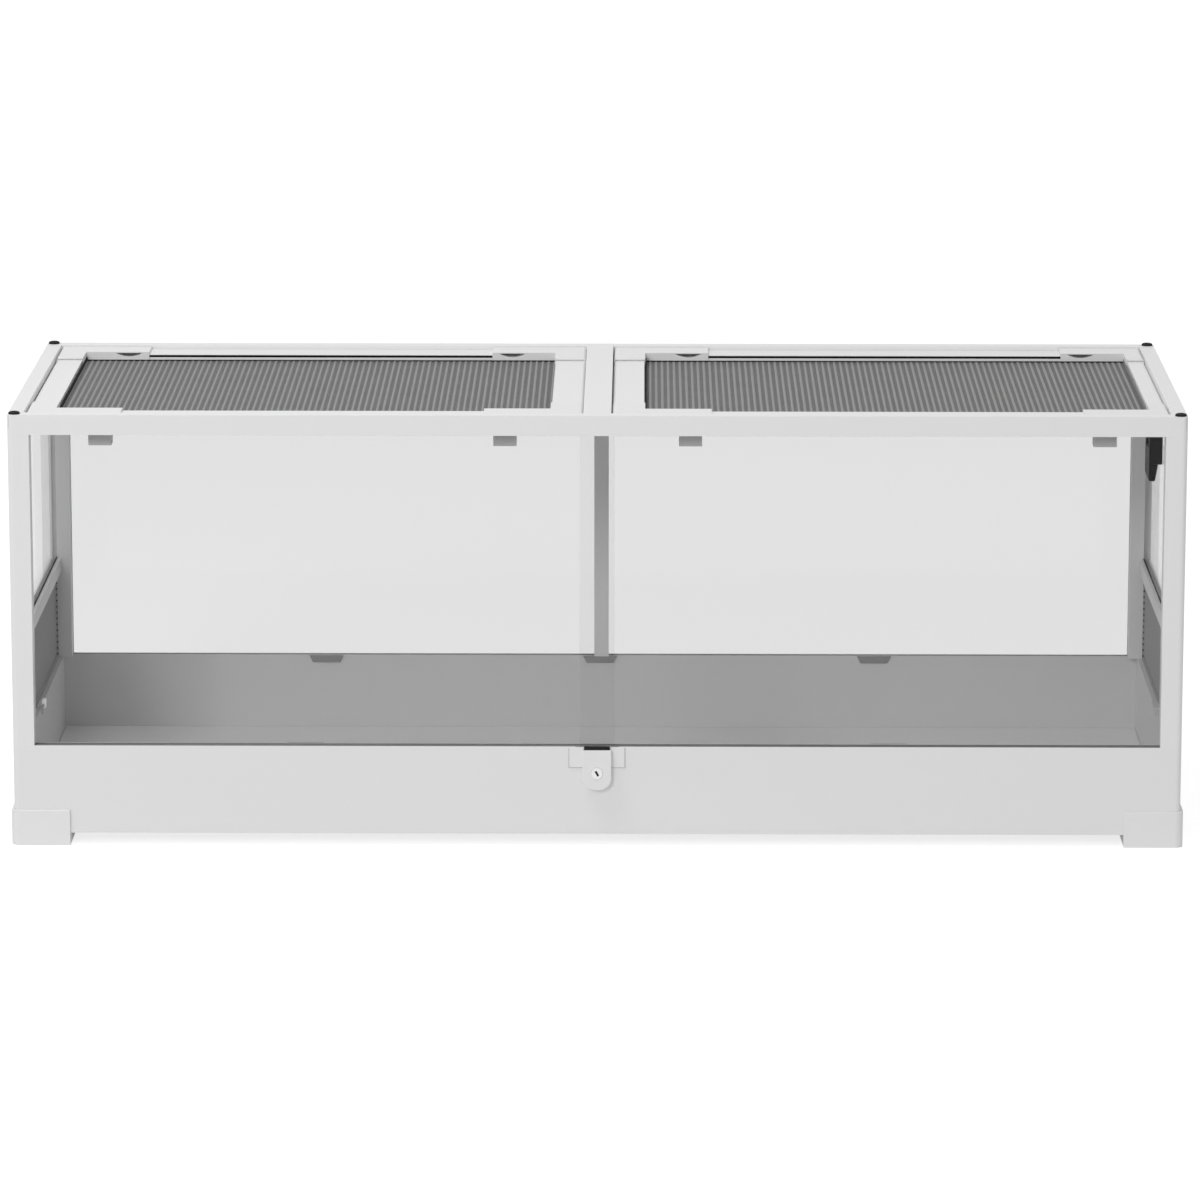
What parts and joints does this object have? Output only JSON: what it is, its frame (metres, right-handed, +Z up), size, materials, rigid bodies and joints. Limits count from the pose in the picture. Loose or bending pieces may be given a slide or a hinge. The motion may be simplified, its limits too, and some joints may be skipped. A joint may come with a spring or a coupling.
{
  "type": "reptile terrarium",
  "caption": "Long glazed terrarium with a white profile frame, sliding glass front doors with a key lock, low side vents and lift-off screen lids held by spring latches.",
  "frame": {"origin": "on the ground, under the middle of the box that encloses the whole object", "axes": "+X to the right seen from the front, +Y to the rear, +Z up"},
  "size_m": [1.226, 0.4696, 0.4595],
  "materials": {
    "white_frame": "white satin coating on extruded profiles",
    "white_panel": "white satin panels",
    "white_moulding": "white satin mouldings",
    "white_lock": "white satin casting",
    "pane_glass": "clear flat glass",
    "screen_mesh": "dark coated ribs",
    "vent_mesh": "dark coated perforated sheet",
    "black_plastic": "black satin",
    "grey_plastic": "light grey satin",
    "steel": "brushed"
  },
  "bodies": {
    "frame": {"post_front_left": "white_frame", "post_front_right": "white_frame", "post_rear_left": "white_frame", "post_rear_right": "white_frame", "post_plugs": "black_plastic", "foot_front_left": "white_moulding", "foot_front_right": "white_moulding", "foot_rear_left": "white_moulding", "foot_rear_right": "white_moulding", "foot_screws": "steel", "base_panel_front": "white_panel", "base_panel_rear": "white_panel", "base_panel_left": "white_panel", "base_panel_right": "white_panel", "floor_panel": "white_panel", "base_clips": "grey_plastic", "top_rail_front": "white_frame", "top_rail_rear": "white_frame", "top_rail_left": "white_frame", "top_rail_right": "white_frame", "lid_brace": "white_frame", "rear_centre_post": "white_frame", "rear_glass_left": "pane_glass", "rear_glass_right": "pane_glass", "side_glass_left": "pane_glass", "side_glass_right": "pane_glass", "mid_rail_left": "white_frame", "mid_rail_right": "white_frame", "vent_panel_left": "vent_mesh", "vent_panel_right": "vent_mesh", "door_track_upper": "grey_plastic", "door_track_lower": "grey_plastic", "lock_plate": "white_lock", "lock_body": "white_lock", "inlet_housing": "black_plastic"},
    "lid_left": {"lid_left_front_bar": "white_frame", "lid_left_rear_bar": "white_frame", "lid_left_outer_bar": "white_frame", "lid_left_inner_bar": "white_frame", "lid_left_corners": "white_moulding", "lid_left_screen": "screen_mesh"},
    "lid_right": {"lid_right_front_bar": "white_frame", "lid_right_rear_bar": "white_frame", "lid_right_outer_bar": "white_frame", "lid_right_inner_bar": "white_frame", "lid_right_corners": "white_moulding", "lid_right_screen": "screen_mesh"},
    "door_left": {"door_left": "pane_glass"},
    "door_right": {"door_right": "pane_glass"},
    "lid_left_latch_front_outer": {"lid_left_latch_front_outer": "grey_plastic"},
    "lid_left_latch_front_inner": {"lid_left_latch_front_inner": "grey_plastic"},
    "lid_left_latch_rear_outer": {"lid_left_latch_rear_outer": "grey_plastic"},
    "lid_left_latch_rear_inner": {"lid_left_latch_rear_inner": "grey_plastic"},
    "lid_right_latch_front_outer": {"lid_right_latch_front_outer": "grey_plastic"},
    "lid_right_latch_front_inner": {"lid_right_latch_front_inner": "grey_plastic"},
    "lid_right_latch_rear_outer": {"lid_right_latch_rear_outer": "grey_plastic"},
    "lid_right_latch_rear_inner": {"lid_right_latch_rear_inner": "grey_plastic"},
    "lock_cylinder": {"lock_cylinder": "steel"},
    "lock_bolt": {"lock_bolt": "black_plastic"},
    "inlet_gate": {"inlet_gate": "black_plastic"}
  },
  "joints": [
    {"name": "lid_left_lift", "type": "slide", "parent": "frame", "child": "lid_left", "axis": [0, 0, 1], "range_m": [0, 0.25]},
    {"name": "lid_right_lift", "type": "slide", "parent": "frame", "child": "lid_right", "axis": [0, 0, 1], "range_m": [0, 0.25]},
    {"name": "door_left_slide", "type": "slide", "parent": "frame", "child": "door_left", "axis": [1, 0, 0], "range_m": [0, 0.568]},
    {"name": "door_right_slide", "type": "slide", "parent": "frame", "child": "door_right", "axis": [-1, 0, 0], "range_m": [0, 0.568]},
    {"name": "lid_left_latch_front_outer_slide", "type": "slide", "parent": "lid_left", "child": "lid_left_latch_front_outer", "axis": [0, 1, 0], "range_m": [0, 0.006], "stiffness_N_per_m": 200, "springref_m": -0.002},
    {"name": "lid_left_latch_front_inner_slide", "type": "slide", "parent": "lid_left", "child": "lid_left_latch_front_inner", "axis": [0, 1, 0], "range_m": [0, 0.006], "stiffness_N_per_m": 200, "springref_m": -0.002},
    {"name": "lid_left_latch_rear_outer_slide", "type": "slide", "parent": "lid_left", "child": "lid_left_latch_rear_outer", "axis": [0, -1, 0], "range_m": [0, 0.006], "stiffness_N_per_m": 200, "springref_m": -0.002},
    {"name": "lid_left_latch_rear_inner_slide", "type": "slide", "parent": "lid_left", "child": "lid_left_latch_rear_inner", "axis": [0, -1, 0], "range_m": [0, 0.006], "stiffness_N_per_m": 200, "springref_m": -0.002},
    {"name": "lid_right_latch_front_outer_slide", "type": "slide", "parent": "lid_right", "child": "lid_right_latch_front_outer", "axis": [0, 1, 0], "range_m": [0, 0.006], "stiffness_N_per_m": 200, "springref_m": -0.002},
    {"name": "lid_right_latch_front_inner_slide", "type": "slide", "parent": "lid_right", "child": "lid_right_latch_front_inner", "axis": [0, 1, 0], "range_m": [0, 0.006], "stiffness_N_per_m": 200, "springref_m": -0.002},
    {"name": "lid_right_latch_rear_outer_slide", "type": "slide", "parent": "lid_right", "child": "lid_right_latch_rear_outer", "axis": [0, -1, 0], "range_m": [0, 0.006], "stiffness_N_per_m": 200, "springref_m": -0.002},
    {"name": "lid_right_latch_rear_inner_slide", "type": "slide", "parent": "lid_right", "child": "lid_right_latch_rear_inner", "axis": [0, -1, 0], "range_m": [0, 0.006], "stiffness_N_per_m": 200, "springref_m": -0.002},
    {"name": "lock_cylinder_turn", "type": "hinge", "parent": "frame", "child": "lock_cylinder", "pos_m": [0, -0.2342, 0.08], "axis": [0, 1, 0], "range_deg": [0, 90]},
    {"name": "lock_bolt_rise", "type": "slide", "parent": "frame", "child": "lock_bolt", "axis": [0, 0, 1], "range_m": [0, 0.005]},
    {"name": "inlet_gate_close", "type": "slide", "parent": "frame", "child": "inlet_gate", "axis": [0, 0, -1], "range_m": [0, 0.024]}
  ],
  "couplings": [
    {"joint": "lock_cylinder_turn", "follows": "lock_bolt_rise", "rad_per_m": 314.1}
  ]
}
